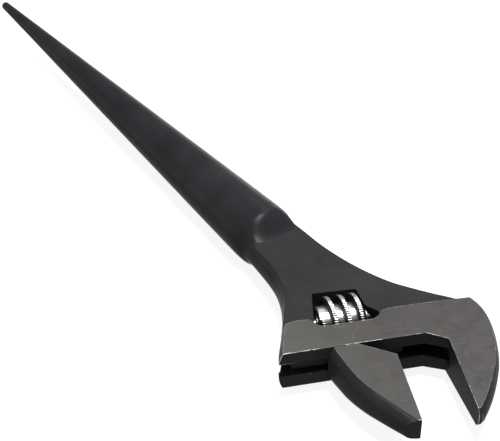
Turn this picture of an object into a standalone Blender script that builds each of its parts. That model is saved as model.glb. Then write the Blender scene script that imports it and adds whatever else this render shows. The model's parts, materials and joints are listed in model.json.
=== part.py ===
"""Adjustable spud wrench: forged body, movable jaw, worm, worm pin and worm spring.

Row frame, in metres: the origin is on the fixed jaw's gripping face, +X is the way the
movable jaw opens, +Y points out of the jaws' mouth and +Z is up out of the ground faces.
"""
import math

import bmesh
import bpy
from mathutils import Matrix, Vector

MM = 0.001
GAP = 0.3 * MM  # left between pieces that touch or slide

# Jaws and beam
OPENING = 21.9 * MM  # between the gripping faces at rest
OPENING_MAX = 41.3 * MM  # 1 5/8 in
TIP_Y = 17.25 * MM
BEAM_Y = -21.8 * MM  # front wall that the movable jaw slides on
THROAT_X = 7.8 * MM
THROAT_Y = -17.3 * MM
HEAD_END_X = 64.8 * MM
BEAM_HALF = 9.0 * MM  # half thickness at the beam's front wall
RIDGE_Y = -37.0 * MM  # where the ground faces end
FIXED_TIP_HALF = 4.3 * MM
MOVING_TIP_HALF = 4.95 * MM
MOVING_TIP_Y = 17.85 * MM
NECK_HALF = 6.0 * MM
NECK_Y = -59.0 * MM  # the side walls are as low as the neck from here to the handle
COVE = 3.2 * MM  # radius of the hollow between the neck and the thicker head
BLANK_HALF = 12.5 * MM  # the blank before its faces are cut
BODY_SWELL = (1.7 * MM, 3.0)  # how far the forged side walls swell out, and how sharply they turn in
JAW_SWELL = (1.9 * MM, 3.1 * MM)  # the same for the movable jaw, at its base and at its tip
JAW_SWELL_POWER = 4.0

# Handle, measured along its axis from a point on the beam's front wall
HANDLE_X = 19.15 * MM
HANDLE_ANGLE = math.radians(22.5)
HANDLE_END = 362.6 * MM
SHOULDER = 98.0 * MM
NOSE_END = 79.5 * MM
FOOT_START = 68.0 * MM
WAIST = (95.0 * MM, 85.5 * MM)  # where the shoulder narrows into the neck
TIP_RADIUS = 2.3 * MM
SHOULDER_RADIUS = 14.3 * MM
SHOULDER_WIDTH = 12.6 * MM
FOOT_HALF = 5.95 * MM
CONE_TAPER = 0.045
NOSE_BLUNTNESS = 1.35

# Shank, rack and slot
SHANK_Y = -31.1 * MM
SHANK_RADIUS = 6.8 * MM
SHANK_FRONT = 6.0 * MM  # from the gripping face towards the fixed jaw
SHANK_BACK = 38.0 * MM  # from the gripping face the other way
SLOT_HALF = 3.45 * MM
SLOT_END_X = -1.5 * MM
WEB_HALF = SLOT_HALF - GAP
BORE_END_X = -6.6 * MM

# Worm
PITCH = 5.4 * MM
WORM_Y = -45.3 * MM
WORM_RADIUS = 10.4 * MM
HUB_RADIUS = 6.9 * MM
HUB_X = (26.7 * MM, 44.9 * MM)
HUB_CHAMFER = (1.4 * MM, 3.6 * MM)  # length over which the thread runs in and out at the hub's ends
EDGE = 0.7 * MM  # chamfer on the hub's own ends
BOSS_RADIUS = 4.0 * MM
BOSS_X = 45.8 * MM
CREST_WIDTH = 1.7 * MM
ROOT_WIDTH = 3.1 * MM
CREST_X = 33.2 * MM  # a crest's centre on the rack side
RACK_SLANT = math.radians(5.0)
COUNTERBORE_RADIUS = 4.4 * MM
COUNTERBORE_X = 31.2 * MM

# Worm pin and spring
PIN_RADIUS = 2.3 * MM
PIN_HEAD_RADIUS = 3.2 * MM
PIN_X = (14.0 * MM, 57.2 * MM)
PIN_HEAD_X = 49.0 * MM
PIN_SLOT = (0.5 * MM, 1.2 * MM)  # half width and depth of the screwdriver slot
SPRING_WIRE = 0.4 * MM
SPRING_RADIUS = 3.5 * MM
SPRING_X = (24.5 * MM, 30.7 * MM)
SPRING_TURNS = 4.5

ROUND_STEPS = 48
THREAD_STEPS = 48
WALL_STEPS = 6
COVE_STEPS = 4
NOSE_STEPS = 16
WALL_TOP = 1.08  # the swollen walls run a little past the ground faces, as a multiple of height

parts = None
cutters = None


def clear_scene():
    for old in list(bpy.data.objects):
        bpy.data.objects.remove(old, do_unlink=True)


def new_collection(name):
    collection = bpy.data.collections.new(name)
    bpy.context.scene.collection.children.link(collection)
    return collection


def material(name, color, roughness, metallic):
    made = bpy.data.materials.new(name)
    made.use_nodes = True
    shader = made.node_tree.nodes["Principled BSDF"]
    shader.inputs["Base Color"].default_value = (*color, 1.0)
    shader.inputs["Roughness"].default_value = roughness
    shader.inputs["Metallic"].default_value = metallic
    return made


def add_object(name, data, collection):
    made = bpy.data.objects.new(name, data)
    collection.objects.link(made)
    if collection == cutters:
        made.hide_render = True
        made.display_type = "WIRE"
    return made


def from_bmesh(name, mesh, collection):
    bmesh.ops.recalc_face_normals(mesh, faces=mesh.faces)
    data = bpy.data.meshes.new(name)
    mesh.to_mesh(data)
    mesh.free()
    return add_object(name, data, collection)


def curve_to_mesh(source, name, collection):
    """Turn a curve object into a closed mesh object in the same place."""
    bpy.context.view_layer.update()
    evaluated = source.evaluated_get(bpy.context.evaluated_depsgraph_get())
    data = bpy.data.meshes.new_from_object(evaluated)
    matrix = source.matrix_world.copy()
    bpy.data.objects.remove(source, do_unlink=True)
    mesh = bmesh.new()
    mesh.from_mesh(data)
    bmesh.ops.remove_doubles(mesh, verts=mesh.verts, dist=1e-6)
    made = from_bmesh(name, mesh, collection)
    made.matrix_world = matrix
    return made


def plate(name, outline, half, collection):
    """A flat outline in XY, extruded half its thickness each way along Z."""
    data = bpy.data.curves.new(name, "CURVE")
    data.dimensions = "2D"
    data.fill_mode = "BOTH"
    data.extrude = half
    spline = data.splines.new("POLY")
    spline.points.add(len(outline) - 1)
    for point, (x, y) in zip(spline.points, outline):
        point.co = (x, y, 0.0, 1.0)
    spline.use_cyclic_u = True
    return curve_to_mesh(add_object(name + "_curve", data, collection), name, collection)


def turned(name, profile, y, collection):
    """A solid turned about a line along X at the given y, from (x, radius) points."""
    data = bpy.data.meshes.new(name)
    edges = [(i, i + 1) for i in range(len(profile) - 1)]
    data.from_pydata([(radius, 0.0, x) for x, radius in profile], edges, [])
    made = add_object(name, data, collection)
    screw = made.modifiers.new("turned", "SCREW")
    screw.axis = "Z"
    screw.steps = ROUND_STEPS
    screw.render_steps = ROUND_STEPS
    screw.use_merge_vertices = True
    screw.merge_threshold = 1e-6
    made.rotation_euler = (0.0, math.pi / 2, 0.0)
    made.location = (0.0, y, 0.0)
    return made


def cylinder(name, radius, start, end, y, collection):
    """A cylinder along X."""
    mesh = bmesh.new()
    bmesh.ops.create_cone(
        mesh, cap_ends=True, segments=ROUND_STEPS, radius1=radius, radius2=radius, depth=end - start
    )
    made = from_bmesh(name, mesh, collection)
    made.rotation_euler = (0.0, math.pi / 2, 0.0)
    made.location = ((start + end) / 2, y, 0.0)
    return made


def box(name, low, high, collection):
    mesh = bmesh.new()
    bmesh.ops.create_cube(mesh, size=1.0)
    size = Vector(high) - Vector(low)
    bmesh.ops.scale(mesh, vec=size, verts=mesh.verts)
    made = from_bmesh(name, mesh, collection)
    made.location = (Vector(high) + Vector(low)) / 2
    return made


def boolean(target, other, operation):
    modifier = target.modifiers.new(other.name, "BOOLEAN")
    modifier.object = other
    modifier.operation = operation
    modifier.solver = "EXACT"


def cut(target, *tools):
    for tool in tools:
        boolean(target, tool, "DIFFERENCE")


def smooth_line(points, steps):
    """A Catmull-Rom line through the points, without its two end tangent points."""
    line = []
    for a, b, c, d in zip(points, points[1:], points[2:], points[3:]):
        a, b, c, d = (Vector(p) for p in (a, b, c, d))
        for step in range(steps):
            t = step / steps
            bend = (2 * a - 5 * b + 4 * c - d) * t * t + (3 * b - 3 * c + d - a) * t * t * t
            line.append(tuple((2 * b + (c - a) * t + bend) / 2))
    line.append(tuple(points[-2]))
    return line


def rounded(corners, steps=6):
    """A closed outline whose corners, given as (x, y, radius), are arcs."""
    outline = []
    count = len(corners)
    for i, (x, y, radius) in enumerate(corners):
        here = Vector((x, y))
        back = (Vector(corners[i - 1][:2]) - here).normalized()
        ahead = (Vector(corners[(i + 1) % count][:2]) - here).normalized()
        half_angle = back.angle(ahead) / 2
        centre = here + (back + ahead).normalized() * radius / math.sin(half_angle)
        first = here + back * radius / math.tan(half_angle) - centre
        last = here + ahead * radius / math.tan(half_angle) - centre
        sweep = first.angle_signed(last)
        for step in range(steps + 1):
            turned = Matrix.Rotation(-sweep * step / steps, 2) @ first
            outline.append(tuple(centre + turned))
    return outline


def mm(*points):
    return [tuple(value * MM for value in point) for point in points]


def face_height(y, tip_half):
    """Half thickness under the ground faces, which taper from the beam to the tips."""
    return BEAM_HALF - (BEAM_HALF - tip_half) * (y - BEAM_Y) / (TIP_Y - BEAM_Y)


def wall_height(y):
    """Height of the forging's side walls, from the flat neck up to the head."""
    part = min(1.0, max(0.0, (y - NECK_Y) / (RIDGE_Y - NECK_Y)))
    head = face_height(max(y, RIDGE_Y), FIXED_TIP_HALF)
    return NECK_HALF + (head - NECK_HALF) * part * part * (3 - 2 * part)


def along_handle(distance, side):
    """A point in plan from its distance along the handle and its offset to the +X side."""
    sin, cos = math.sin(HANDLE_ANGLE), math.cos(HANDLE_ANGLE)
    return (HANDLE_X + distance * sin + side * cos, BEAM_Y - distance * cos + side * sin)


def lofted(name, outline, rings, collection):
    """A closed solid through rings of one outline, each with its height and inset at a given y."""
    mesh = bmesh.new()
    count = len(outline)
    made_rings = []
    for height, inset in rings:
        ring = []
        for i, (x, y) in enumerate(outline):
            along = (Vector(outline[(i + 1) % count]) - Vector(outline[i - 1])).normalized()
            moved = inset(y)
            ring.append(mesh.verts.new((x - along.y * moved, y + along.x * moved, height(y))))
        made_rings.append(ring)
    for low, high in zip(made_rings, made_rings[1:]):
        for i in range(count):
            j = (i + 1) % count
            mesh.faces.new((low[i], low[j], high[j], high[i]))
    mesh.faces.new(list(reversed(made_rings[0])))
    mesh.faces.new(made_rings[-1])
    return from_bmesh(name, mesh, collection)


def swollen_blank(name, outline, height, swell, power):
    """A blank whose side walls swell out at mid height; its flat ends are cut away later."""

    def wall(level):
        return lambda y: level * height(y), lambda y: swell(y) * abs(level) ** power

    def flat_end(z):
        return lambda y: z, lambda y: swell(y) * WALL_TOP ** power

    levels = [WALL_TOP * step / WALL_STEPS for step in range(-WALL_STEPS, WALL_STEPS + 1)]
    rings = [flat_end(-BLANK_HALF), *[wall(level) for level in levels], flat_end(BLANK_HALF)]
    return lofted(name, outline, rings, parts)


def face_cutters(name, height):
    """Two wedges that leave the material between the ground faces."""
    made = []
    back, front, far = -0.08, 0.045, 3 * BLANK_HALF
    for side, label in ((1, "top"), (-1, "bottom")):
        near = [(back, side * height(back)), (front, side * height(front))]
        outline = near + [(front, side * far), (back, side * far)]
        block = plate(f"{name}_{label}", outline, 0.15, cutters)
        block.matrix_world = Matrix(((0, 0, 1, 0), (1, 0, 0, 0), (0, 1, 0, 0), (0, 0, 0, 1)))
        made.append(block)
    return made


def neck_cutters():
    """Blocks over and under the neck, hollow-cornered where they meet the thicker head."""
    edge = mm((-40, -36.2), (-24, -36.2), (-13, -36.4), (-3, -36.8), (10, -36.95), (18, -36.9), (20.6, -36.5))
    edge += mm((22.2, -35.7), (23.3, -34.2), (25.2, -33.4), (30.0, -33.3), (40.0, -33.3), (46.6, -33.3))
    edge += mm((48.3, -33.8), (49.5, -35.2), (50.8, -36.8), (53.0, -37.2), (58.0, -37.1), (62.0, -36.2))
    edge += mm((75, -36.2), (90, -36.2))
    line = smooth_line(edge, 3)
    outline = [line[-1], *reversed(line[:-1]), (line[0][0], -0.14), (line[-1][0], -0.14)]
    made = []
    for side, label in ((1, "top"), (-1, "bottom")):
        rings = []
        for step in range(COVE_STEPS + 1):
            angle = math.pi / 2 * step / COVE_STEPS
            z = side * (NECK_HALF + COVE * (1 - math.cos(angle)))
            inset = COVE * (1 - math.sin(angle))
            rings.append((lambda y, z=z: z, lambda y, inset=inset: inset))
        rings.append((lambda y, z=side * 2 * BLANK_HALF: z, lambda y: 0.0))
        made.append(lofted(f"neck_cut_{label}", outline, rings, cutters))
    return made


def shoulder_section(distance):
    """Half width, half height and squareness of the forging's section near the shoulder."""
    cone = SHOULDER_RADIUS - CONE_TAPER * max(0.0, distance - SHOULDER)
    drop = min(1.0, max(0.0, (SHOULDER - distance) / (SHOULDER - NOSE_END)))
    narrowing = min(1.0, max(0.0, (WAIST[0] - distance) / (WAIST[0] - WAIST[1])))
    half_height = FOOT_HALF + (cone - FOOT_HALF) * (1 - drop ** 3) ** NOSE_BLUNTNESS
    half_width = cone - (cone - SHOULDER_WIDTH) * narrowing * narrowing * (3 - 2 * narrowing)
    foot = min(1.0, max(0.0, (NOSE_END - distance) / (NOSE_END - FOOT_START)))
    return half_width, half_height, 2.0 + 1.6 * drop ** 2 + 2.4 * foot


def handle_solid():
    """The round tapered handle and its blunt shoulder, lofted down to the flat neck."""
    distances = [FOOT_START + (NOSE_END - FOOT_START) * step / 3 for step in range(4)]
    distances += [NOSE_END + (SHOULDER - NOSE_END) * step / NOSE_STEPS for step in range(1, NOSE_STEPS + 1)]
    sections = [(distance, *shoulder_section(distance)) for distance in distances]
    for step in range(1, 9):
        distance = SHOULDER + (HANDLE_END - TIP_RADIUS - SHOULDER) * step / 8
        radius = SHOULDER_RADIUS + (TIP_RADIUS - SHOULDER_RADIUS) * step / 8
        sections.append((distance, radius, radius, 2.0))
    for step in range(1, 5):
        angle = math.pi / 2 * step / 5
        radius = TIP_RADIUS * math.cos(angle)
        sections.append((HANDLE_END - TIP_RADIUS + TIP_RADIUS * math.sin(angle), radius, radius, 2.0))
    mesh = bmesh.new()
    rings = []
    for distance, half_width, half_height, squareness in sections:
        ring = []
        for step in range(ROUND_STEPS):
            angle = 2 * math.pi * step / ROUND_STEPS
            across = math.copysign(abs(math.cos(angle)) ** (2 / squareness), math.cos(angle))
            up = math.copysign(abs(math.sin(angle)) ** (2 / squareness), math.sin(angle))
            x, y = along_handle(distance, half_width * across)
            ring.append(mesh.verts.new((x, y, half_height * up)))
        rings.append(ring)
    for low, high in zip(rings, rings[1:]):
        for i in range(ROUND_STEPS):
            j = (i + 1) % ROUND_STEPS
            mesh.faces.new((low[i], low[j], high[j], high[i]))
    mesh.faces.new(list(reversed(rings[0])))
    end = mesh.verts.new((*along_handle(HANDLE_END, 0.0), 0.0))
    for i in range(ROUND_STEPS):
        mesh.faces.new((rings[-1][i], rings[-1][(i + 1) % ROUND_STEPS], end))
    return from_bmesh("handle", mesh, cutters)


def body_outline():
    """The forging in plan at mid height, counter-clockwise from inside the mouth."""
    left = mm((70.0, -16.0), (66.9, -20.0), (65.2, -27.5), (62.0, -37.0), (59.1, -47.0), (57.2, -58.0))
    left += mm((57.0, -68.0), (58.7, -78.0))
    neck_left = [along_handle(d * MM, s * MM) for d, s in ((84, 13.1), (97, 11.8), (110, 10.0))]
    neck_right = [along_handle(d * MM, -s * MM) for d, s in ((110, 10.0), (97, 11.8), (82, 13.4))]
    neck_right += [along_handle(d * MM, -s * MM) for d, s in ((65, 14.1), (49, 16.6), (35, 20.8))]
    right = mm((4.2, -53.6), (-3.2, -47.7), (-12.6, -41.3), (-17.2, -36.0), (-19.9, -29.0))
    right += mm((-20.3, -21.0), (-18.9, -12.5), (-16.4, -4.5), (-12.6, 3.0), (-8.0, 10.4), (-3.0, 16.9))
    right += mm((1.5, 22.5))
    first = smooth_line([*left, *neck_left], 4)
    second = smooth_line([*neck_right, *right], 4)
    inside_mouth = mm((-1.4, 18.1), (2.0, 18.2), (12.0, 17.9), (12.0, -12.0), (60.0, -12.0))
    outline = first + second + inside_mouth
    return list(reversed(outline))


def window_outline():
    """The opening that the worm sits in, wider where it meets the rack."""
    return rounded(
        mm(
            (26.4, -56.2, 1.2),
            (25.4, -45.6, 2.5),
            (21.2, -41.4, 1.6),
            (21.2, -32.6, 5.9),
            (49.3, -32.6, 3.2),
            (44.7, -57.1, 1.2),
        )
    )


def body(finish):
    """Handle, neck, beam and fixed jaw, forged in one piece and then machined."""
    made = swollen_blank("body", body_outline(), wall_height, lambda y: BODY_SWELL[0], BODY_SWELL[1])
    made.data.materials.append(finish)
    cut(made, *face_cutters("body_faces", lambda y: face_height(y, FIXED_TIP_HALF)), *neck_cutters())
    boolean(made, handle_solid(), "UNION")
    mouth = mm((100, -21.8), (7.8, -21.8), (0, -17.3), (0, 40), (100, 40))
    slot_radius = 5.0 * MM
    slot = rounded([
        (SLOT_END_X, SHANK_Y, 0.1 * MM), (0.1, SHANK_Y, 0.1 * MM),
        (0.1, 0.0, 0.1 * MM), (SLOT_END_X + 2 * slot_radius, 0.0, 0.1 * MM),
        (SLOT_END_X, BEAM_Y + slot_radius, slot_radius),
    ])
    cut(
        made,
        plate("mouth_cut", mouth, 0.02, cutters),
        plate("window_cut", window_outline(), 0.02, cutters),
        cylinder("shank_bore", SHANK_RADIUS + GAP, BORE_END_X, 0.1, SHANK_Y, cutters),
        plate("slot_cut", slot, SLOT_HALF, cutters),
        cylinder("pin_bore", PIN_RADIUS + GAP, PIN_X[0] - GAP, 0.055, WORM_Y, cutters),
        cylinder("pin_head_bore", PIN_HEAD_RADIUS + GAP, PIN_HEAD_X - GAP, 0.07, WORM_Y, cutters),
        cylinder("spring_seat", COUNTERBORE_RADIUS, SPRING_X[0] - GAP, HUB_X[0], WORM_Y, cutters),
    )
    return made


def jaw_outline():
    """The movable jaw in plan: gripping face, bevel over the throat, curved back."""
    back = mm((52.0, -37.0), (50.0, -32.0), (48.3, -26.0), (46.9, -21.5), (45.96, -17.5), (44.9, -13.4))
    back += mm((43.8, -9.3), (42.3, -5.1), (40.3, -0.8), (38.0, 3.4), (35.2, 7.6), (32.4, 11.7), (29.4, 15.9))
    back += mm((26.4, 20.1), (22.6, 25.6), (18.5, 31.5))
    return smooth_line(back, 3) + mm((14.0, 34.0), (5.0, 34.0), (5.0, -40.0), (52.5, -40.0))


def moving_height(y):
    return face_height(y, MOVING_TIP_HALF)


def jaw_swell(y):
    part = min(1.0, max(0.0, (y - BEAM_Y) / (TIP_Y - BEAM_Y)))
    return JAW_SWELL[0] + (JAW_SWELL[1] - JAW_SWELL[0]) * part


def rack_cutters():
    """One slanted groove for each worm crest along the shank."""
    made = []
    reach = 1.6 * MM
    root_y = WORM_Y + WORM_RADIUS + GAP
    tip_y = SHANK_Y - SHANK_RADIUS - reach
    flank = (ROOT_WIDTH - CREST_WIDTH) / 2 / (WORM_RADIUS - HUB_RADIUS)
    root_half = CREST_WIDTH / 2 + GAP
    tip_half = root_half + flank * (root_y - tip_y)
    first = math.ceil((OPENING - SHANK_FRONT - CREST_X) / PITCH)
    last = math.ceil((OPENING + SHANK_BACK - CREST_X) / PITCH)
    for index in range(first, last + 1):
        outline = [(-tip_half, tip_y), (tip_half, tip_y), (root_half, root_y), (-root_half, root_y)]
        groove = plate(f"rack_groove_{index}", outline, 0.012, cutters)
        groove.rotation_euler = (0.0, RACK_SLANT, 0.0)
        groove.location = (CREST_X + index * PITCH, 0.0, 0.0)
        made.append(groove)
    return made


def movable_jaw(finish):
    """Jaw, web and round shank with its rack, in one piece."""
    made = swollen_blank("movable_jaw", jaw_outline(), moving_height, jaw_swell, JAW_SWELL_POWER)
    made.data.materials.append(finish)
    cut(made, *face_cutters("jaw_faces", moving_height))
    base_y = BEAM_Y + GAP
    front = [
        (OPENING, 0.05), (OPENING, -13.8 * MM),
        (34.9 * MM, base_y), (0.1, base_y), (0.1, -0.06), (-0.02, -0.06), (-0.02, 0.05),
    ]
    square_end = [(0.01, MOVING_TIP_Y), (0.06, MOVING_TIP_Y), (0.06, 0.04), (0.01, 0.04)]
    cut(made, plate("jaw_front_cut", front, 0.02, cutters), plate("jaw_tip_cut", square_end, 0.02, cutters))
    shank_x = (OPENING - SHANK_FRONT, OPENING + SHANK_BACK)
    web_x = (OPENING + 9.0 * MM, OPENING + 23.3 * MM)
    web = box("web", (web_x[0], SHANK_Y, -WEB_HALF), (web_x[1], base_y + 2 * MM, WEB_HALF), cutters)
    boolean(made, web, "UNION")
    boolean(made, cylinder("shank", SHANK_RADIUS, *shank_x, SHANK_Y, cutters), "UNION")
    cut(made, *rack_cutters())
    return made


def thread_mesh():
    """One-start thread around X: profile corners repeat each pitch and follow the helix."""
    gap = (PITCH - ROOT_WIDTH) / 2
    rise = (ROOT_WIDTH - CREST_WIDTH) / 2
    corners = [
        (-PITCH / 2 + gap, HUB_RADIUS), (-PITCH / 2 + gap + rise, WORM_RADIUS),
        (CREST_WIDTH / 2, WORM_RADIUS), (ROOT_WIDTH / 2, HUB_RADIUS),
    ]
    turns = range(-3, 5)
    profile = [(CREST_X + turn * PITCH + x, r) for turn in turns for x, r in corners]
    mesh = bmesh.new()
    grid = []
    for step in range(THREAD_STEPS):
        angle = 2 * math.pi * step / THREAD_STEPS
        shift = PITCH * step / THREAD_STEPS
        grid.append([
            mesh.verts.new((x + shift, r * math.cos(angle), r * math.sin(angle))) for x, r in profile
        ])
    per_turn = len(corners)
    count = len(profile)
    for step in range(THREAD_STEPS - 1):
        for i in range(count - 1):
            here, there = grid[step], grid[step + 1]
            mesh.faces.new((here[i], here[i + 1], there[i + 1], there[i]))
    for i in range(count - 1 - per_turn):
        here, there = grid[-1], grid[0]
        mesh.faces.new((here[i], here[i + 1], there[i + 1 + per_turn], there[i + per_turn]))
    bmesh.ops.holes_fill(mesh, edges=[edge for edge in mesh.edges if edge.is_boundary])
    bmesh.ops.triangulate(mesh, faces=[face for face in mesh.faces if len(face.verts) > 4])
    return mesh


def worm(finish):
    """Threaded barrel with a thrust boss, bored for its pin and counterbored for its spring."""
    made = from_bmesh("worm", thread_mesh(), parts)
    made.data.materials.append(finish)
    made.location = (0.0, WORM_Y, 0.0)
    run_in, run_out = HUB_CHAMFER
    envelope = [
        (HUB_X[1], 0.0), (HUB_X[1], HUB_RADIUS - EDGE), (HUB_X[1] - EDGE, HUB_RADIUS + GAP),
        (HUB_X[1] - run_out, WORM_RADIUS), (HUB_X[0] + run_in, WORM_RADIUS),
        (HUB_X[0] + EDGE, HUB_RADIUS + GAP), (HUB_X[0], HUB_RADIUS - EDGE), (HUB_X[0], 0.0),
    ]
    boolean(made, turned("worm_envelope", envelope, WORM_Y, cutters), "INTERSECT")
    boolean(made, cylinder("worm_boss", BOSS_RADIUS, 0.035, BOSS_X, WORM_Y, cutters), "UNION")
    cut(
        made,
        cylinder("worm_bore", PIN_RADIUS + GAP, 0.02, 0.05, WORM_Y, cutters),
        cylinder("worm_counterbore", COUNTERBORE_RADIUS, 0.02, COUNTERBORE_X, WORM_Y, cutters),
    )
    return made


def worm_pin(finish):
    """Slotted pin that the worm turns on, screwed in from the side of the neck."""
    made = cylinder("worm_pin", PIN_RADIUS, PIN_X[0], PIN_X[1], WORM_Y, parts)
    made.data.materials.append(finish)
    head = cylinder("pin_head", PIN_HEAD_RADIUS, PIN_HEAD_X, PIN_X[1], WORM_Y, cutters)
    boolean(made, head, "UNION")
    half, depth = PIN_SLOT
    slot_low = (PIN_X[1] - depth, WORM_Y - 2 * PIN_HEAD_RADIUS, -half)
    slot_high = (PIN_X[1] + depth, WORM_Y + 2 * PIN_HEAD_RADIUS, half)
    cut(made, box("pin_slot", slot_low, slot_high, cutters))
    return made


def worm_spring(finish):
    """Compression spring around the pin, inside the worm's counterbore."""
    data = bpy.data.curves.new("worm_spring", "CURVE")
    data.dimensions = "3D"
    data.bevel_depth = SPRING_WIRE
    data.bevel_resolution = 2
    data.use_fill_caps = True
    points = int(SPRING_TURNS * 16)
    spline = data.splines.new("POLY")
    spline.points.add(points)
    for i, point in enumerate(spline.points):
        part = i / points
        angle = 2 * math.pi * SPRING_TURNS * part
        x = SPRING_X[0] + SPRING_WIRE + (SPRING_X[1] - SPRING_X[0] - 2 * SPRING_WIRE) * part
        point.co = (x, SPRING_RADIUS * math.cos(angle), SPRING_RADIUS * math.sin(angle), 1.0)
    made = add_object("worm_spring", data, parts)
    made.data.materials.append(finish)
    made.location = (0.0, WORM_Y, 0.0)
    return made


def main():
    global parts, cutters
    clear_scene()
    parts = new_collection("adjustable_wrench")
    cutters = new_collection("cutters")
    black = material("black_oxide", (0.035, 0.036, 0.04), 0.55, 0.6)
    ground = material("ground_black_oxide", (0.16, 0.15, 0.14), 0.42, 0.7)
    bright = material("bright_steel", (0.75, 0.75, 0.76), 0.22, 1.0)
    spring_steel = material("spring_steel", (0.35, 0.35, 0.36), 0.35, 1.0)
    body(black)
    movable_jaw(ground)
    worm(bright)
    worm_pin(spring_steel)
    worm_spring(spring_steel)


main()
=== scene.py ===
"""Looks of the adjustable spud wrench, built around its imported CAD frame."""

import json
import math

import bmesh
import bpy
from mathutils import Matrix, Vector


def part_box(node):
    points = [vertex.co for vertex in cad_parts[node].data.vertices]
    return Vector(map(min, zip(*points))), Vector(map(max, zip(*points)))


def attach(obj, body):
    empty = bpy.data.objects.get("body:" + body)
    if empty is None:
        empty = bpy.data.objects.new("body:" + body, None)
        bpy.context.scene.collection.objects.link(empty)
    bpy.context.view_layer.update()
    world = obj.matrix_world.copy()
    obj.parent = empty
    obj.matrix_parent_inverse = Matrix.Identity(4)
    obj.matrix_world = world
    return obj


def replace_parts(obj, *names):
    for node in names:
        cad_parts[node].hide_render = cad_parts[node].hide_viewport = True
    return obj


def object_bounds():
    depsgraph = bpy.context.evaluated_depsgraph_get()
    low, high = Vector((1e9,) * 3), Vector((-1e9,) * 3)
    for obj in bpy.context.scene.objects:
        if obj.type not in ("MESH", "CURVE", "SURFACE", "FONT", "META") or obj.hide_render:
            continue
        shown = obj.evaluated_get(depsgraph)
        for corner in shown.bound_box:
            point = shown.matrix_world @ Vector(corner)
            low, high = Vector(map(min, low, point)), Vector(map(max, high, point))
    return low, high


MM = 0.001

# Camera: where it stands, which way its image runs, and how long its lens is
CAMERA_AT = (0.138707, 0.297779, 0.323227)
CAMERA_RIGHT = (-0.979748, 0.199862, -0.012231)
CAMERA_DOWN = (0.130727, 0.592179, -0.795131)
SENSOR_WIDTH = 36.0
LENS = 85.449

# Studio: the floor, the even surroundings, and each light's place, aim, size and power
FLOOR_SIZE = 6.0
FLOOR_COLOR = (0.30, 0.30, 0.30)
FLOOR_VARIATION = 1.04
FLOOR_GLOW = 0.88
FLOOR_ROUGHNESS = 0.9
FLOOR_SHINE = 0.1
WORLD_LIGHT = 0.22
TOOL_MIDDLE = (0.0, -0.08, 0.0)
SHOULDER_MIDDLE = (0.05, -0.11, 0.0)
OVERHEAD_LIGHT = ((-0.05, -0.02, 1.0), TOOL_MIDDLE, (0.35, 0.3), 14.0)
DOME_LIGHT = ((-0.38, -0.42, 0.95), SHOULDER_MIDDLE, (0.12, 0.12), 1.6)
SIDE_LIGHT = ((0.9, 0.3, 0.6), TOOL_MIDDLE, (0.5, 0.5), 0.5)
BACK_LIGHT = ((-0.45, -1.0, 0.9), TOOL_MIDDLE, (0.7, 0.5), 2.5)

# Cleaning and smoothing the CAD meshes
EDGE_RADIUS = 0.45 * MM
BEVEL_SAMPLES = 6
SHARP_ANGLE = math.radians(28.0)
FLAT_ANGLE = math.radians(0.4)
WELD = 0.002 * MM
FACE_WEIGHT = 80

# The ground faces lean out towards the tips of the jaws
GROUND_LEAN = (0.08, 0.16)
GROUND_UP = 0.98
GROUND_FROM = -40.0 * MM

# The shoulder, by distance along the handle's axis
HANDLE_START = (19.15 * MM, -21.8 * MM)
HANDLE_ANGLE = math.radians(22.5)
BLEND_STATIONS = (70.0 * MM, 76.0 * MM, 94.0 * MM, 104.0 * MM)
NECK_HALF = 6.0 * MM
SHOULDER_RADIUS = 14.3 * MM
SHOULDER_AT = 98.0 * MM
HANDLE_TAPER = 0.045
DOME_STATIONS = (78.8 * MM, 91.5 * MM)
DOME_FOOT = 10.0 * MM  # the neck is level this far in front of the dome
DOME_SIDE = (-15.0 * MM, -13.0 * MM)  # the dome's own shape begins between these offsets
BLEND_EDGE = 1.0 * MM
BLEND_PASSES = 6
BLEND_ROUNDS = 14
BLEND_PULL = 0.5

# Worm: its hub, bores, thread and knurl
HUB_RADIUS = 6.9 * MM
BOSS_RADIUS = 4.0 * MM
BORE_RADIUS = 2.6 * MM
COUNTERBORE_RADIUS = 4.4 * MM
BOSS_LENGTH = 0.5 * MM
COUNTERBORE_DEPTH = 4.5 * MM
CREST_WIDTH = 1.5 * MM
ROOT_WIDTH = 2.6 * MM
CREST_X = 33.2 * MM
THREAD_END = 44.82 * MM  # the thread stops where its crest gets this far along
RUN_IN = 1.4 * MM
RUN_OUT = 0.10 * MM
HUB_EDGE = 0.35 * MM
RIBS = 66
RIB_DEPTH = 0.12 * MM
RIB_SHARPNESS = 1.4
RIB_FADE = 0.25  # the ribs fade in over this share of the thread's height
STEPS_PER_RIB = 8
WORM_COLUMNS = 130
WORM_SHARP_ANGLE = math.radians(50.0)

# Painted shade on the worm, as a share of full darkness: on its thread's flanks, in its bores and on its
# left end face, and on its right end face and boss
FLANK = (0.04, 0.97)
FLANK_SHADE = 0.92
BORE_SHADE = 0.95
BOSS_SHADE = 0.8

# Where edges are worn: breadth of the worn band, and the shares of noise where steel shows
WEAR_RADIUS = 0.6 * MM
WEAR_EDGE = (0.99, 0.90)
WEAR_NOISE = (260.0, 5.0, 0.7)
WEAR_NEAR_SPOTS = (0.22, 0.36)
BLACK_WEAR = (0.64, 0.72)
GROUND_WEAR = (0.50, 0.58)
SPOT_CORE = 0.3
HEAD_MIDDLE = (22.0 * MM, -15.0 * MM, 0.0)  # no edge outside the head has lost its black
HEAD_REACH = (55.0 * MM, 62.0 * MM)
BEAM_END = (66.0 * MM, -22.0 * MM, 9.0 * MM)
FIXED_TIP_X = -2.0 * MM
FIXED_TIP_Z = 4.0 * MM
JAW_TIP_Z = 5.0 * MM
BODY_SPOT_RADIUS = 9.0 * MM
JAW_SPOT_RADIUS = 5.0 * MM

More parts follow.
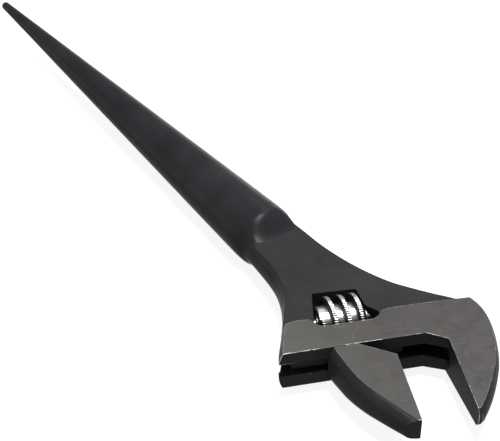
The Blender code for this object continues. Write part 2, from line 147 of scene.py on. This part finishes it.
# Patterns: a noise's scale, detail and roughness, the two levels to spread, and what they become
BLOTCH = (45.0, 6.0, 0.6, 0.35, 0.68, 0.0, 1.0)
STAIN = (70.0, 5.0, 0.65, 0.62, 0.76, 0.0, 0.55)
SPECK = (900.0, 1.0, 0.4, 0.80, 0.84, 0.0, 0.5)
PORES = (1500.0, 2.0, 0.5, 0.30, 0.42, 0.0, 0.6)
BLACK_ROUGHNESS = (120.0, 5.0, 0.6, 0.3, 0.7, 0.27, 0.36)
MOTTLE = (160.0, 7.0, 0.65, 0.3, 0.7, 0.0, 1.0)
PATCH = (75.0, 6.0, 0.7, 0.44, 0.62, 0.0, 0.7)
SCUFF = (900.0, 4.0, 0.7, 0.63, 0.76, 0.0, 0.45)
PIT = (780.0, 3.0, 0.6, 0.70, 0.75, 0.0, 0.7)
GROUND_ROUGHNESS = (220.0, 6.0, 0.65, 0.3, 0.7, 0.34, 0.52)
SMEAR = (350.0, 5.0, 0.6, 0.35, 0.7, 0.0, 0.45)
# Unevenness of the worm's painted shade
UNEVEN_SHADE = (600.0, 4.0, 0.6, 0.3, 0.7, 0.75, 1.0)
STEEL_ROUGHNESS = (420.0, 5.0, 0.6, 0.3, 0.7)
PAPER = (9.0, 4.0, 0.55, 0.3, 0.7, 0.0, 1.0)

# Plain noises: scale, detail and roughness
SKIN_NOISE = (520.0, 5.0, 0.6)
SCRATCH_NOISE = (1100.0, 3.0, 0.7)
TURNING_NOISE = (2600.0, 2.0, 0.5)
SCRATCH_STRETCH = (0.10, 1.0, 1.0)
SCRATCH_TURN = math.radians(63.0)
SCUFF_STRETCH = (1.0, 0.12, 1.0)
SCUFF_TURN = math.radians(-24.0)
TURNING_STRETCH = (1.0, 0.05, 0.05)

# Black: forged faces shine a little, and the upright walls keep their dull scale
BLACK_DARK = (0.0160, 0.0160, 0.0184)
BLACK_LIGHT = (0.0235, 0.0236, 0.0264)
STAIN_COLOR = (0.030, 0.022, 0.016)
SPECK_COLOR = (0.12, 0.12, 0.12)
BLACK_WORN = (0.42, 0.41, 0.39)
OXIDE_IOR = 1.16
WALL_TO_TOP = (0.25, 0.75)
WALL_AND_TOP_SHINE = (0.05, 0.5)
SKIN_SHARE = 0.6
SKIN_BUMP = (0.35, 0.06 * MM)

# Ground faces
GROUND_DARK = (0.015, 0.0125, 0.0115)
GROUND_LIGHT = (0.034, 0.0290, 0.027)
PATCH_COLOR = (0.032, 0.0295, 0.026)
OPEN_END_COLOR = (0.072, 0.070, 0.060)
OPEN_END = (20.0 * MM, 62.0 * MM, 0.0, 0.55)
SCRATCH_LEVELS = (0.60, 0.74, 0.0, 0.30)
SCRATCH_COLOR = (0.13, 0.12, 0.11)
SCUFF_COLOR = (0.16, 0.15, 0.135)
# Painted highlight: a light rim along every edge of the ground faces
RIM_HIGHLIGHT_SHARE = 0.3
RIM_HIGHLIGHT_COLOR = (0.30, 0.29, 0.27)
PIT_COLOR = (0.018, 0.017, 0.016)
GROUND_WORN = (0.50, 0.49, 0.46)
GROUND_SHINE = 0.33
SCRATCH_BUMP = (0.25, 0.03 * MM)

# Bare steels: colour, then the lowest and highest roughness
WORM_STEEL = ((0.50, 0.50, 0.51), 0.26, 0.40)
PIN_STEEL = ((0.20, 0.20, 0.21), 0.3, 0.45)
SPRING_STEEL = ((0.35, 0.35, 0.36), 0.3, 0.4)
SMEAR_DARKENS = 0.62
# Colour of the painted shade on the worm's flanks, grooves, bores and boss
PAINTED_SHADE_COLOR = (0.03, 0.03, 0.032)
TURNING_BUMP = (0.2, 0.02 * MM)


def add(tree, kind, inputs=None, **settings):
    """A new node with its settings, and its inputs set or linked."""
    made = tree.nodes.new(kind)
    for key, value in settings.items():
        setattr(made, key, value)
    for key, value in (inputs or {}).items():
        if isinstance(value, bpy.types.NodeSocket):
            tree.links.new(value, made.inputs[key])
        else:
            made.inputs[key].default_value = value
    return made


def own_place(tree):
    return add(tree, "ShaderNodeTexCoord").outputs["Object"]


def noise(tree, scale, detail, roughness, stretch=(1.0, 1.0, 1.0), turn=0.0):
    """Noise on the piece's own metres; a stretch below 1 draws it out along that axis."""
    place = {"Vector": own_place(tree), "Rotation": (0, 0, turn), "Scale": stretch}
    mapping = add(tree, "ShaderNodeMapping", place).outputs["Vector"]
    inputs = {"Vector": mapping, "Scale": scale, "Detail": detail, "Roughness": roughness}
    return add(tree, "ShaderNodeTexNoise", inputs).outputs["Fac"]


def remap(tree, value, low, high, to_low=0.0, to_high=1.0):
    inputs = {"Value": value, "From Min": low, "From Max": high, "To Min": to_low, "To Max": to_high}
    return add(tree, "ShaderNodeMapRange", inputs).outputs["Result"]


def pattern(tree, look, *stretch_and_turn):
    """A noise with its levels spread out."""
    return remap(tree, noise(tree, *look[:3], *stretch_and_turn), *look[3:])


def math_node(tree, operation, a, b):
    return add(tree, "ShaderNodeMath", {0: a, 1: b}, operation=operation, use_clamp=True).outputs["Value"]


def mix(tree, factor, a, b):
    """Mix two colours."""
    a = (*a, 1.0) if isinstance(a, tuple) else a
    b = (*b, 1.0) if isinstance(b, tuple) else b
    return add(tree, "ShaderNodeMix", {0: factor, 6: a, 7: b}, data_type="RGBA").outputs[2]


def bevelled(tree, radius):
    return add(tree, "ShaderNodeBevel", {"Radius": radius}, samples=BEVEL_SAMPLES).outputs["Normal"]


def face_normal(tree):
    return add(tree, "ShaderNodeNewGeometry").outputs["Normal"]


def bump(tree, height, look, **more):
    """A bump of the given strength and depth."""
    strength, depth = look
    inputs = {"Height": height, "Strength": strength, "Distance": depth, **more}
    return add(tree, "ShaderNodeBump", inputs).outputs["Normal"]


def edge_mask(tree):
    """1 on the rounded edges of a piece, 0 on its faces."""
    inputs = {0: bevelled(tree, WEAR_RADIUS), 1: face_normal(tree)}
    both = add(tree, "ShaderNodeVectorMath", inputs, operation="DOT_PRODUCT").outputs["Value"]
    return remap(tree, both, *WEAR_EDGE)


def near(tree, centre, inner, outer):
    """1 around a point of the piece, falling to 0 at the outer radius."""
    inputs = {0: own_place(tree), 1: centre}
    away = add(tree, "ShaderNodeVectorMath", inputs, operation="DISTANCE").outputs["Value"]
    return remap(tree, away, inner, outer, 1.0, 0.0)


def worn_edges(tree, spots, spread):
    """Where the finish has worn off: broken stretches of the edges, more so around the given spots."""
    edge = math_node(tree, "MULTIPLY", edge_mask(tree), near(tree, HEAD_MIDDLE, *HEAD_REACH))
    chance = noise(tree, *WEAR_NOISE)
    bare = remap(tree, chance, *spread)
    for centre, radius in spots:
        around = near(tree, centre, SPOT_CORE * radius, radius)
        often = remap(tree, chance, *WEAR_NEAR_SPOTS)
        bare = math_node(tree, "MAXIMUM", bare, math_node(tree, "MULTIPLY", around, often))
    return math_node(tree, "MULTIPLY", edge, bare)


def new_material(name):
    made = bpy.data.materials.new(name)
    made.use_nodes = True
    return made, made.node_tree, made.node_tree.nodes["Principled BSDF"]


def link_inputs(tree, shader, **sockets):
    """Link sockets to the shader's inputs, which are named with _ for a space."""
    for name, socket in sockets.items():
        tree.links.new(socket, shader.inputs[name.replace("_", " ")])


def scale_sheen(tree):
    """How strongly the black shines: the upright walls keep their dull forging scale."""
    up = add(tree, "ShaderNodeSeparateXYZ", {"Vector": face_normal(tree)}).outputs["Z"]
    return remap(tree, math_node(tree, "ABSOLUTE", up, 0.0), *WALL_TO_TOP, *WALL_AND_TOP_SHINE)


def black_oxide(name, spots):
    """Forged steel, blackened: matt bluish black with brown stains, pores and bright specks."""
    made, tree, shader = new_material(name)
    color = mix(tree, pattern(tree, BLOTCH), BLACK_DARK, BLACK_LIGHT)
    color = mix(tree, pattern(tree, STAIN), color, STAIN_COLOR)
    color = mix(tree, pattern(tree, SPECK), color, SPECK_COLOR)
    worn = worn_edges(tree, spots, BLACK_WEAR)
    color = mix(tree, worn, color, BLACK_WORN)
    skin = math_node(tree, "MULTIPLY", noise(tree, *SKIN_NOISE), SKIN_SHARE)
    height = math_node(tree, "ADD", skin, pattern(tree, PORES))
    link_inputs(
        tree, shader,
        Base_Color=color,
        Roughness=pattern(tree, BLACK_ROUGHNESS),
        Metallic=worn,
        Normal=bump(tree, height, SKIN_BUMP, Normal=bevelled(tree, EDGE_RADIUS)),
        Specular_IOR_Level=scale_sheen(tree),
    )
    shader.inputs["IOR"].default_value = OXIDE_IOR
    return made


def ground_oxide(name, spots):
    """Machined faces, ground before blackening: grey-brown, scratched and mottled."""
    made, tree, shader = new_material(name)
    color = mix(tree, pattern(tree, MOTTLE), GROUND_DARK, GROUND_LIGHT)
    color = mix(tree, pattern(tree, PATCH), color, PATCH_COLOR)
    along = add(tree, "ShaderNodeSeparateXYZ", {"Vector": own_place(tree)}).outputs["X"]
    color = mix(tree, remap(tree, along, *OPEN_END), color, OPEN_END_COLOR)
    scratch = noise(tree, *SCRATCH_NOISE, SCRATCH_STRETCH, SCRATCH_TURN)
    color = mix(tree, remap(tree, scratch, *SCRATCH_LEVELS), color, SCRATCH_COLOR)
    color = mix(tree, pattern(tree, SCUFF, SCUFF_STRETCH, SCUFF_TURN), color, SCUFF_COLOR)
    # Painted highlight along the ground faces' edges
    color = mix(tree, math_node(tree, "MULTIPLY", edge_mask(tree), RIM_HIGHLIGHT_SHARE), color, RIM_HIGHLIGHT_COLOR)
    color = mix(tree, pattern(tree, PIT), color, PIT_COLOR)
    worn = worn_edges(tree, spots, GROUND_WEAR)
    color = mix(tree, worn, color, GROUND_WORN)
    link_inputs(
        tree, shader,
        Base_Color=color,
        Roughness=pattern(tree, GROUND_ROUGHNESS),
        Metallic=worn,
        Normal=bump(tree, scratch, SCRATCH_BUMP, Normal=bevelled(tree, EDGE_RADIUS)),
    )
    shader.inputs["Specular IOR Level"].default_value = GROUND_SHINE
    return made


def bright_steel(name, look, with_painted_shade):
    """Bare turned steel with fine turning marks, and painted shade from a per-vertex attribute, darkest
    where it is high.
    """
    made, tree, shader = new_material(name)
    color, *roughness = look
    tint = mix(tree, pattern(tree, SMEAR), color, tuple(SMEAR_DARKENS * part for part in color))
    # Painted shade: darkens the steel where the mesh's shade attribute is high
    if with_painted_shade:
        painted_shade = add(tree, "ShaderNodeAttribute", attribute_name="painted_shade").outputs["Fac"]
        shade_amount = math_node(tree, "MULTIPLY", painted_shade, pattern(tree, UNEVEN_SHADE))
        tint = mix(tree, shade_amount, tint, PAINTED_SHADE_COLOR)
    link_inputs(
        tree, shader,
        Base_Color=tint,
        Roughness=pattern(tree, (*STEEL_ROUGHNESS, *roughness)),
        Normal=bump(tree, noise(tree, *TURNING_NOISE, TURNING_STRETCH), TURNING_BUMP),
    )
    shader.inputs["Metallic"].default_value = 1.0
    return made


def linked(name, data):
    """A new object in the scene."""
    made = bpy.data.objects.new(name, data)
    bpy.context.scene.collection.objects.link(made)
    return made


def new_object(name, verts, faces):
    data = bpy.data.meshes.new(name)
    data.from_pydata(verts, [], faces)
    return linked(name, data)


def smooth_step(value):
    value = min(1.0, max(0.0, value))
    return value * value * (3 - 2 * value)


def is_ground(face):
    """Whether a face is one of the jaws' ground upper or lower faces."""
    low, high = GROUND_LEAN
    on_head = face.calc_center_median().y > GROUND_FROM
    return on_head and abs(face.normal.z) > GROUND_UP and low < face.normal.y < high


def along_handle(place):
    """How far a place is along the handle from where its axis meets the beam."""
    x, y = place.x - HANDLE_START[0], place.y - HANDLE_START[1]
    return x * math.sin(HANDLE_ANGLE) - y * math.cos(HANDLE_ANGLE)


def across_handle(place):
    """How far a place is to the side of the handle's axis."""
    x, y = place.x - HANDLE_START[0], place.y - HANDLE_START[1]
    return x * math.cos(HANDLE_ANGLE) + y * math.sin(HANDLE_ANGLE)


def blend_weight(place):
    """How freely a place of the shoulder moves while its creases are softened."""
    start, full_from, full_to, end = BLEND_STATIONS
    distance = along_handle(place)
    return smooth_step(min((distance - start) / (full_from - start), (end - distance) / (end - full_to)))


def dome_height(place):
    """Height of the shoulder's dome, which rises out of the neck as the handle's round begins."""
    start, end = DOME_STATIONS
    fade_from, fade_to = BLEND_STATIONS[2:]
    distance, across = along_handle(place), across_handle(place)
    height = abs(place.z)
    if not start - DOME_FOOT < distance < fade_to:
        return height
    radius = SHOULDER_RADIUS - HANDLE_TAPER * max(0.0, distance - SHOULDER_AT)
    bulge = math.sqrt(max(0.0, radius ** 2 - across ** 2)) - NECK_HALF
    target = NECK_HALF + max(0.0, bulge) * smooth_step((distance - start) / (end - start))
    side = min(1.0, max(0.0, (across - DOME_SIDE[0]) / (DOME_SIDE[1] - DOME_SIDE[0])))
    fade = min(1.0, (fade_to - distance) / (fade_to - fade_from))
    return height + (target - height) * side * fade


def soften_shoulder(mesh):
    """Give the shoulder a fine mesh and relax it, so that it flows into the neck as a forging does."""
    for _ in range(BLEND_PASSES):
        near_faces = [f for f in mesh.faces if blend_weight(f.calc_center_median()) > 0]
        bmesh.ops.triangulate(mesh, faces=[f for f in near_faces if len(f.verts) > 3])
        long_edges = [
            e for e in mesh.edges
            if e.calc_length() > BLEND_EDGE
            and blend_weight((e.verts[0].co + e.verts[1].co) / 2) > 0
        ]
        if not long_edges:
            break
        bmesh.ops.subdivide_edges(mesh, edges=long_edges, cuts=1)
    for v in mesh.verts:
        if abs(v.co.z) > NECK_HALF + WELD:
            v.co.z = math.copysign(dome_height(v.co), v.co.z)
    weights = {v: blend_weight(v.co) for v in mesh.verts}
    moving = [v for v, weight in weights.items() if weight > 0]
    for _ in range(BLEND_ROUNDS):
        targets = []
        for v in moving:
            others = [e.other_vert(v).co for e in v.link_edges]
            middle = sum(others, Vector()) / len(others)
            targets.append(v.co.lerp(middle, BLEND_PULL * weights[v]))
        for v, target in zip(moving, targets):
            v.co = target


def dressed(node, name, materials, shape=None):
    """A copy of a CAD node's mesh with clean faces, smooth stretches and its materials."""
    source = bmesh.new()
    source.from_mesh(frame["nodes"][node].data)
    bmesh.ops.remove_doubles(source, verts=source.verts, dist=WELD)
    bmesh.ops.dissolve_limit(source, angle_limit=FLAT_ANGLE, verts=source.verts, edges=source.edges)
    if shape:
        shape(source)
    source.normal_update()
    for face in source.faces:
        face.smooth = True
        face.material_index = 1 if len(materials) > 1 and is_ground(face) else 0
    for edge in source.edges:
        edge.smooth = edge.is_manifold and edge.calc_face_angle(0.0) < SHARP_ANGLE
    made = new_object(name, [], [])
    source.to_mesh(made.data)
    source.free()
    if "custom_normal" in made.data.attributes:
        made.data.attributes.remove(made.data.attributes["custom_normal"])
    for item in materials:
        made.data.materials.append(item)
    weighted = made.modifiers.new("weighted", "WEIGHTED_NORMAL")
    weighted.keep_sharp = True
    weighted.weight = FACE_WEIGHT
    return made


def worm_pitch():
    """The thread's pitch, from how far the jaw slides for each turn of the worm."""
    coupling = frame["record"]["behaviour"]["couplings"][0]
    return 2 * math.pi / abs(coupling["ratio"])


def worm_radius(along, turn, start, top, pitch):
    """The worm's radius and how much painted shade it gets, at a place along its axis and round it."""
    phase = (along - CREST_X - pitch * turn + pitch / 2) % pitch - pitch / 2
    crest_at = along - phase
    reach = top - HUB_RADIUS
    level = smooth_step((ROOT_WIDTH - 2 * abs(phase)) / (ROOT_WIDTH - CREST_WIDTH))
    ends = min((along - start) / RUN_IN, (THREAD_END - crest_at) / RUN_OUT)
    height = min(level, max(0.0, ends))
    on_crest = max(0.0, 1 - (1 - height) / RIB_FADE)
    wave = min(1.0, max(0.0, 0.5 + RIB_SHARPNESS * math.cos(2 * math.pi * RIBS * turn)))
    groove = wave * on_crest
    # Painted shade: the thread's flanks and the grooves between the ribs are painted dark
    flank = FLANK_SHADE if FLANK[0] < height < FLANK[1] else 0.0
    return HUB_RADIUS + reach * height - RIB_DEPTH * groove, max(flank, groove)


def knurled_worm(material):
    """The worm with its round thread crests ribbed across, bored through."""
    low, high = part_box("worm")
    top = (high.z - low.z) / 2
    centre_y = (low.y + high.y) / 2
    start, end = low.x, high.x - BOSS_LENGTH
    step_x = low.x + COUNTERBORE_DEPTH
    rim = HUB_RADIUS - HUB_EDGE
    pitch = worm_pitch()
    steps = RIBS * STEPS_PER_RIB
    columns = [start + (end - start) * i / WORM_COLUMNS for i in range(1, WORM_COLUMNS)]
    before = [(step_x, BORE_RADIUS), (step_x, COUNTERBORE_RADIUS), (start, COUNTERBORE_RADIUS), (start, rim)]
    after = [(end, rim), (end, BOSS_RADIUS), (high.x, BOSS_RADIUS), (high.x, BORE_RADIUS)]
    # Painted shade per vertex: the share of darkness for the flanks, rib grooves, bores and boss
    verts, faces, painted_shade = [], [], []
    for step in range(steps):
        turn = step / steps
        angle = 2 * math.pi * turn
        ring = [(x, r, BORE_SHADE) for x, r in before]
        for x in columns:
            radius, shade_share = worm_radius(x, turn, start, top, pitch)
            to_end = min(x - start, end - x)
            if to_end < HUB_EDGE:
                radius = min(radius, rim + to_end)
            ring.append((x, radius, shade_share))
        ring += [(x, r, BOSS_SHADE) for x, r in after]
        for x, r, shade_share in ring:
            verts.append((x, centre_y + r * math.cos(angle), r * math.sin(angle)))
            painted_shade.append(shade_share)
    count = len(verts) // steps
    for step in range(steps):
        here, there = step * count, (step + 1) % steps * count
        for i in range(count):
            j = (i + 1) % count
            faces.append((here + i, here + j, there + j, there + i))
    made = new_object("knurled_worm", verts, faces)
    fixed = bmesh.new()
    fixed.from_mesh(made.data)
    bmesh.ops.recalc_face_normals(fixed, faces=fixed.faces)
    for face in fixed.faces:
        face.smooth = True
    for edge in fixed.edges:
        edge.smooth = edge.calc_face_angle(0.0) < WORM_SHARP_ANGLE
    fixed.to_mesh(made.data)
    fixed.free()
    # The painted shade goes to the steel's shader as a point attribute
    layer = made.data.attributes.new("painted_shade", "FLOAT", "POINT")
    layer.data.foreach_set("value", painted_shade)
    made.data.materials.append(material)
    return made


def area_light(name, at, towards, size, power):
    data = bpy.data.lights.new(name, "AREA")
    data.shape = "RECTANGLE"
    data.size, data.size_y = size
    data.energy = power
    made = linked(name, data)
    made.location = at
    made.rotation_euler = (Vector(towards) - Vector(at)).to_track_quat("-Z", "Y").to_euler()
    return made


def studio(low):
    """Pale floor, even pale surroundings and soft lights."""
    half = FLOOR_SIZE / 2
    corners = [(-half, -half, 0), (half, -half, 0), (half, half, 0), (-half, half, 0)]
    floor = new_object("floor", corners, [(0, 1, 2, 3)])
    floor.location = (0.0, 0.0, low)
    surface, tree, shader = new_material("floor")
    lighter = tuple(FLOOR_VARIATION * part for part in FLOOR_COLOR)
    link_inputs(tree, shader, Base_Color=mix(tree, pattern(tree, PAPER), FLOOR_COLOR, lighter))
    shader.inputs["Emission Color"].default_value = (1.0, 1.0, 1.0, 1.0)
    shader.inputs["Emission Strength"].default_value = FLOOR_GLOW
    shader.inputs["Roughness"].default_value = FLOOR_ROUGHNESS
    shader.inputs["Specular IOR Level"].default_value = FLOOR_SHINE
    floor.data.materials.append(surface)
    world = bpy.data.worlds.new("surroundings")
    bpy.context.scene.world = world
    world.use_nodes = True
    background = world.node_tree.nodes["Background"]
    background.inputs["Color"].default_value = (1.0, 1.0, 1.0, 1.0)
    background.inputs["Strength"].default_value = WORLD_LIGHT
    area_light("overhead", *OVERHEAD_LIGHT)
    area_light("dome", *DOME_LIGHT)
    area_light("side", *SIDE_LIGHT)
    area_light("back", *BACK_LIGHT)


def camera():
    data = bpy.data.cameras.new("camera")
    data.sensor_width = SENSOR_WIDTH
    data.lens = LENS
    made = linked("camera", data)
    right, down = Vector(CAMERA_RIGHT), Vector(CAMERA_DOWN)
    forward = right.cross(down)
    turn = Matrix((right, -down, -forward)).transposed().to_4x4()
    made.matrix_world = Matrix.Translation(CAMERA_AT) @ turn
    bpy.context.scene.camera = made


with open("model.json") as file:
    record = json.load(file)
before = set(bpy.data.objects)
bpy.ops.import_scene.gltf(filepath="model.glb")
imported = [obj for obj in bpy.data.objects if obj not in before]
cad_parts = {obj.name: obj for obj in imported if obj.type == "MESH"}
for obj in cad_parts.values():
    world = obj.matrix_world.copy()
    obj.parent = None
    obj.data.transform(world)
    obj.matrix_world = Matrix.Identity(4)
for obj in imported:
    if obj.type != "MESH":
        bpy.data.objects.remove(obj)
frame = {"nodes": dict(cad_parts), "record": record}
cad_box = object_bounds()
body_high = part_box("body")[1]
jaw_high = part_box("movable_jaw")[1]
gap = frame["record"]["mounts"][1]["pos_m"][0]

fixed_tip = (FIXED_TIP_X, body_high.y, FIXED_TIP_Z)
jaw_tip = (gap, jaw_high.y, JAW_TIP_Z)
body_spots = [(fixed_tip, BODY_SPOT_RADIUS), (BEAM_END, BODY_SPOT_RADIUS)]
jaw_spots = [(jaw_tip, JAW_SPOT_RADIUS)]

body_looks = [black_oxide("body_black", body_spots), ground_oxide("body_ground", body_spots)]
body = dressed("body", "forged_body", body_looks, soften_shoulder)
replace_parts(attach(body, "frame"), "body")

jaw_looks = [black_oxide("jaw_black", []), ground_oxide("jaw_ground", jaw_spots)]
jaw = dressed("movable_jaw", "sliding_jaw", jaw_looks)
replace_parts(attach(jaw, "jaw"), "movable_jaw")

worm = knurled_worm(bright_steel("worm_steel", WORM_STEEL, with_painted_shade=True))
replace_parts(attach(worm, "knurl"), "worm")

pin = dressed("worm_pin", "slotted_pin", [bright_steel("pin_steel", PIN_STEEL, with_painted_shade=False)])
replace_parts(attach(pin, "frame"), "worm_pin")

spring = dressed("worm_spring", "coil_spring", [bright_steel("spring_steel", SPRING_STEEL, with_painted_shade=False)])
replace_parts(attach(spring, "frame"), "worm_spring")

studio(cad_box[0][2])
camera()
bpy.context.scene.view_settings.view_transform = "Standard"
